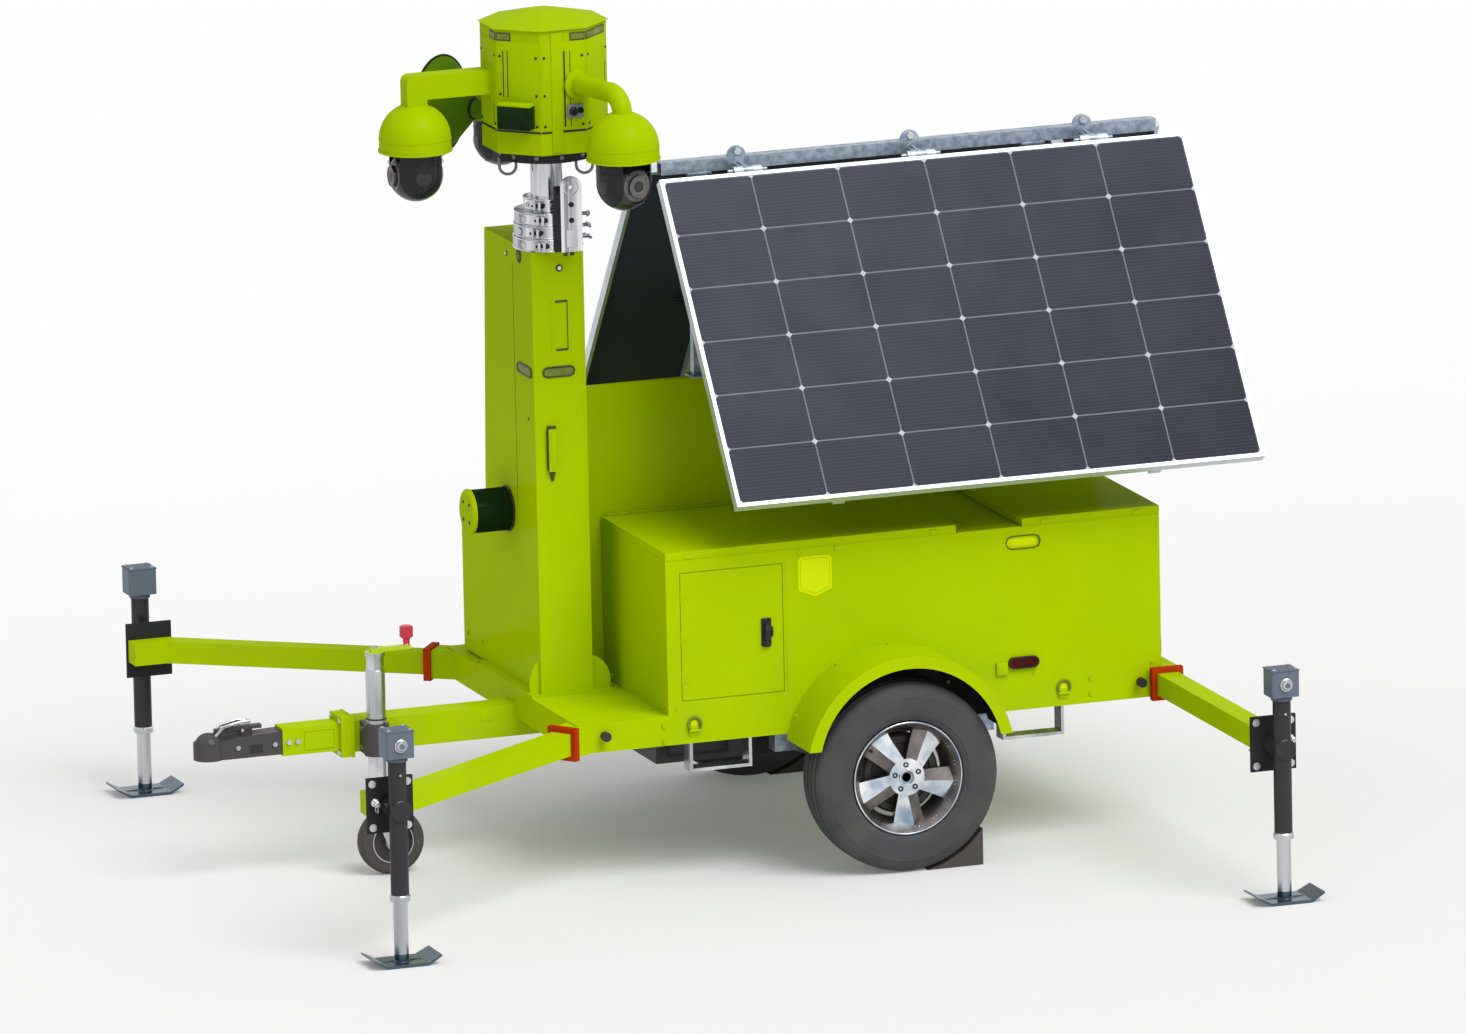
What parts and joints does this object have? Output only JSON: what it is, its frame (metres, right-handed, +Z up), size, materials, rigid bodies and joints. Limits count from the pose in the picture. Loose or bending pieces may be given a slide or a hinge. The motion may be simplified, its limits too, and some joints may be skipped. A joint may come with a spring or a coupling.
{
  "type": "mobile solar surveillance tower",
  "caption": "Towed trailer with folding solar panels, a telescoping camera mast, cabinets and swivelling outrigger jacks.",
  "frame": {"origin": "on the ground, midway between the coupling's tip and the panels' rear edge, on the trailer's centre plane", "axes": "+X forward to the coupling, +Y to the trailer's left, +Z up"},
  "size_m": [3.306, 3.41, 2.715],
  "materials": {
    "lime_paint": "gloss enamel",
    "black_paint": "satin enamel",
    "galvanised": "galvanised, slightly dull",
    "zinc_plate": "bright zinc plate",
    "slate_paint": "satin grey-blue",
    "mast_tube": "drawn and anodised",
    "polished_alloy": "machined and polished",
    "panel_alloy": "anodised, satin",
    "solar_glass": "toughened glass over dark cells",
    "tyre_rubber": "matt",
    "hard_rubber": "matt",
    "smoked_dome": "gloss, smoked",
    "lamp_lens": "gloss, ribbed"
  },
  "bodies": {
    "trailer": {"chassis_frame": "lime_paint", "outrigger_sockets": "lime_paint", "index_plungers": "black_paint", "axle": "galvanised", "fenders": "lime_paint", "wheel_chocks": "hard_rubber", "fork_hoops": "zinc_plate", "underbody_box": "black_paint", "drawbar": "lime_paint", "coupling_head": "slate_paint", "jockey_clamp": "slate_paint", "spine_wall": "lime_paint", "ridge_frame": "galvanised", "mast_column": "lime_paint", "front_cowl": "lime_paint", "mast_base": "mast_tube", "lamps": "lamp_lens", "cabinet_shell_left": "lime_paint", "cabinet_shell_right": "lime_paint"},
    "jockey_stem": {"jockey_tube": "zinc_plate"},
    "jockey_caster": {"jockey_fork": "zinc_plate"},
    "jockey_roller": {"jockey_wheel": "hard_rubber"},
    "mast_1": {"mast_stage_1": "mast_tube"},
    "mast_2": {"mast_stage_2": "mast_tube"},
    "head": {"mast_stage_3": "mast_tube", "head_housing": "lime_paint", "head_fixtures": "lime_paint", "camera_mounts": "lime_paint"},
    "wheel_left": {"tyre_left": "tyre_rubber", "rim_left": "polished_alloy"},
    "front_outrigger_left": {"front_arm_left": "lime_paint"},
    "front_jack_left": {"front_jack_body_left": "black_paint"},
    "front_foot_left": {"front_jack_leg_left": "zinc_plate"},
    "rear_outrigger_left": {"rear_arm_left": "lime_paint"},
    "rear_jack_left": {"rear_jack_body_left": "black_paint"},
    "rear_foot_left": {"rear_jack_leg_left": "zinc_plate"},
    "door_left": {"cabinet_door_left": "lime_paint"},
    "lid_front_left": {"cabinet_lid_front_left": "lime_paint"},
    "lid_rear_left": {"cabinet_lid_rear_left": "lime_paint"},
    "panel_left": {"panel_frame_left": "panel_alloy", "panel_glass_left": "solar_glass"},
    "wheel_right": {"tyre_right": "tyre_rubber", "rim_right": "polished_alloy"},
    "front_outrigger_right": {"front_arm_right": "lime_paint"},
    "front_jack_right": {"front_jack_body_right": "black_paint"},
    "front_foot_right": {"front_jack_leg_right": "zinc_plate"},
    "rear_outrigger_right": {"rear_arm_right": "lime_paint"},
    "rear_jack_right": {"rear_jack_body_right": "black_paint"},
    "rear_foot_right": {"rear_jack_leg_right": "zinc_plate"},
    "door_right": {"cabinet_door_right": "lime_paint"},
    "lid_front_right": {"cabinet_lid_front_right": "lime_paint"},
    "lid_rear_right": {"cabinet_lid_rear_right": "lime_paint"},
    "panel_right": {"panel_frame_right": "panel_alloy", "panel_glass_right": "solar_glass"},
    "camera_pan_front": {"camera_yoke_front": "black_paint"},
    "camera_tilt_front": {"camera_ball_front": "smoked_dome"},
    "camera_pan_left": {"camera_yoke_left": "black_paint"},
    "camera_tilt_left": {"camera_ball_left": "smoked_dome"},
    "camera_pan_right": {"camera_yoke_right": "black_paint"},
    "camera_tilt_right": {"camera_ball_right": "smoked_dome"}
  },
  "joints": [
    {"name": "jockey_raise", "type": "slide", "parent": "trailer", "child": "jockey_stem", "axis": [0, 0, 1], "range_m": [0, 0.15]},
    {"name": "jockey_caster_turn", "type": "hinge", "parent": "jockey_stem", "child": "jockey_caster", "pos_m": [1.087, 0.115, 0.22], "axis": [0, 0, 1], "continuous": true},
    {"name": "jockey_roller_spin", "type": "hinge", "parent": "jockey_caster", "child": "jockey_roller", "pos_m": [1.05, 0.115, 0.105], "axis": [0, 1, 0], "continuous": true},
    {"name": "mast_1_raise", "type": "slide", "parent": "trailer", "child": "mast_1", "axis": [0, 0, 1], "range_m": [0, 1.1]},
    {"name": "mast_2_raise", "type": "slide", "parent": "mast_1", "child": "mast_2", "axis": [0, 0, 1], "range_m": [0, 1.1]},
    {"name": "mast_3_raise", "type": "slide", "parent": "mast_2", "child": "head", "axis": [0, 0, 1], "range_m": [0, 1.1]},
    {"name": "wheel_left_spin", "type": "hinge", "parent": "trailer", "child": "wheel_left", "pos_m": [-0.435, 0.724, 0.3035], "axis": [0, 1, 0], "continuous": true},
    {"name": "front_outrigger_left_slide", "type": "slide", "parent": "trailer", "child": "front_outrigger_left", "axis": [-0.8104, -0.5858, 0], "range_m": [0, 0.7]},
    {"name": "front_jack_left_swivel", "type": "hinge", "parent": "front_outrigger_left", "child": "front_jack_left", "pos_m": [1.41, 1.27, 0.487], "axis": [0, 1, 0], "range_deg": [0, 90]},
    {"name": "front_foot_left_extend", "type": "slide", "parent": "front_jack_left", "child": "front_foot_left", "axis": [0, 0, 1], "range_m": [-0.05, 0.18]},
    {"name": "rear_outrigger_left_slide", "type": "slide", "parent": "trailer", "child": "rear_outrigger_left", "axis": [0, -1, 0], "range_m": [0, 0.48]},
    {"name": "rear_jack_left_swivel", "type": "hinge", "parent": "rear_outrigger_left", "child": "rear_jack_left", "pos_m": [-1.365, 1.64, 0.487], "axis": [0, -1, 0], "range_deg": [0, 90]},
    {"name": "rear_foot_left_extend", "type": "slide", "parent": "rear_jack_left", "child": "rear_foot_left", "axis": [0, 0, 1], "range_m": [-0.05, 0.18]},
    {"name": "door_left_swing", "type": "hinge", "parent": "trailer", "child": "door_left", "pos_m": [0.245, 0.62, 0.784], "axis": [0, 0, -1], "range_deg": [0, 100]},
    {"name": "lid_front_left_open", "type": "hinge", "parent": "trailer", "child": "lid_front_left", "pos_m": [-0.191, 0.022, 1.0565], "axis": [1, 0, 0], "range_deg": [0, 85]},
    {"name": "lid_rear_left_open", "type": "hinge", "parent": "trailer", "child": "lid_rear_left", "pos_m": [-1.127, 0.022, 1.0565], "axis": [1, 0, 0], "range_deg": [0, 85]},
    {"name": "panel_left_raise", "type": "hinge", "parent": "trailer", "child": "panel_left", "pos_m": [-0.772, 0.1, 2.14], "axis": [1, 0, 0], "range_deg": [0, 54]},
    {"name": "wheel_right_spin", "type": "hinge", "parent": "trailer", "child": "wheel_right", "pos_m": [-0.435, -0.724, 0.3035], "axis": [0, 1, 0], "continuous": true},
    {"name": "front_outrigger_right_slide", "type": "slide", "parent": "trailer", "child": "front_outrigger_right", "axis": [-0.8104, 0.5858, 0], "range_m": [0, 0.7]},
    {"name": "front_jack_right_swivel", "type": "hinge", "parent": "front_outrigger_right", "child": "front_jack_right", "pos_m": [1.41, -1.27, 0.487], "axis": [0, 1, 0], "range_deg": [0, 90]},
    {"name": "front_foot_right_extend", "type": "slide", "parent": "front_jack_right", "child": "front_foot_right", "axis": [0, 0, 1], "range_m": [-0.05, 0.18]},
    {"name": "rear_outrigger_right_slide", "type": "slide", "parent": "trailer", "child": "rear_outrigger_right", "axis": [0, 1, 0], "range_m": [0, 0.48]},
    {"name": "rear_jack_right_swivel", "type": "hinge", "parent": "rear_outrigger_right", "child": "rear_jack_right", "pos_m": [-1.365, -1.64, 0.487], "axis": [0, -1, 0], "range_deg": [0, 90]},
    {"name": "rear_foot_right_extend", "type": "slide", "parent": "rear_jack_right", "child": "rear_foot_right", "axis": [0, 0, 1], "range_m": [-0.05, 0.18]},
    {"name": "door_right_swing", "type": "hinge", "parent": "trailer", "child": "door_right", "pos_m": [0.245, -0.62, 0.784], "axis": [0, 0, 1], "range_deg": [0, 100]},
    {"name": "lid_front_right_open", "type": "hinge", "parent": "trailer", "child": "lid_front_right", "pos_m": [-0.191, -0.022, 1.0565], "axis": [-1, 0, 0], "range_deg": [0, 85]},
    {"name": "lid_rear_right_open", "type": "hinge", "parent": "trailer", "child": "lid_rear_right", "pos_m": [-1.127, -0.022, 1.0565], "axis": [-1, 0, 0], "range_deg": [0, 85]},
    {"name": "panel_right_raise", "type": "hinge", "parent": "trailer", "child": "panel_right", "pos_m": [-0.772, -0.1, 2.14], "axis": [-1, 0, 0], "range_deg": [0, 54]},
    {"name": "camera_front_pan", "type": "hinge", "parent": "head", "child": "camera_pan_front", "pos_m": [0.91, 0.112, 2.405], "axis": [0, 0, 1], "continuous": true},
    {"name": "camera_front_tilt", "type": "hinge", "parent": "camera_pan_front", "child": "camera_tilt_front", "pos_m": [0.91, 0.112, 2.226], "axis": [0, 1, 0], "range_deg": [-10, 90]},
    {"name": "camera_left_pan", "type": "hinge", "parent": "head", "child": "camera_pan_left", "pos_m": [0.36871, 0.52735, 2.405], "axis": [0, 0, 1], "continuous": true},
    {"name": "camera_left_tilt", "type": "hinge", "parent": "camera_pan_left", "child": "camera_tilt_left", "pos_m": [0.36871, 0.52735, 2.226], "axis": [-0.9659, -0.2588, 0], "range_deg": [-10, 90]},
    {"name": "camera_right_pan", "type": "hinge", "parent": "head", "child": "camera_pan_right", "pos_m": [0.48, -0.318, 2.405], "axis": [0, 0, 1], "continuous": true},
    {"name": "camera_right_tilt", "type": "hinge", "parent": "camera_pan_right", "child": "camera_tilt_right", "pos_m": [0.48, -0.318, 2.226], "axis": [1, 0, 0], "range_deg": [-10, 90]}
  ]
}
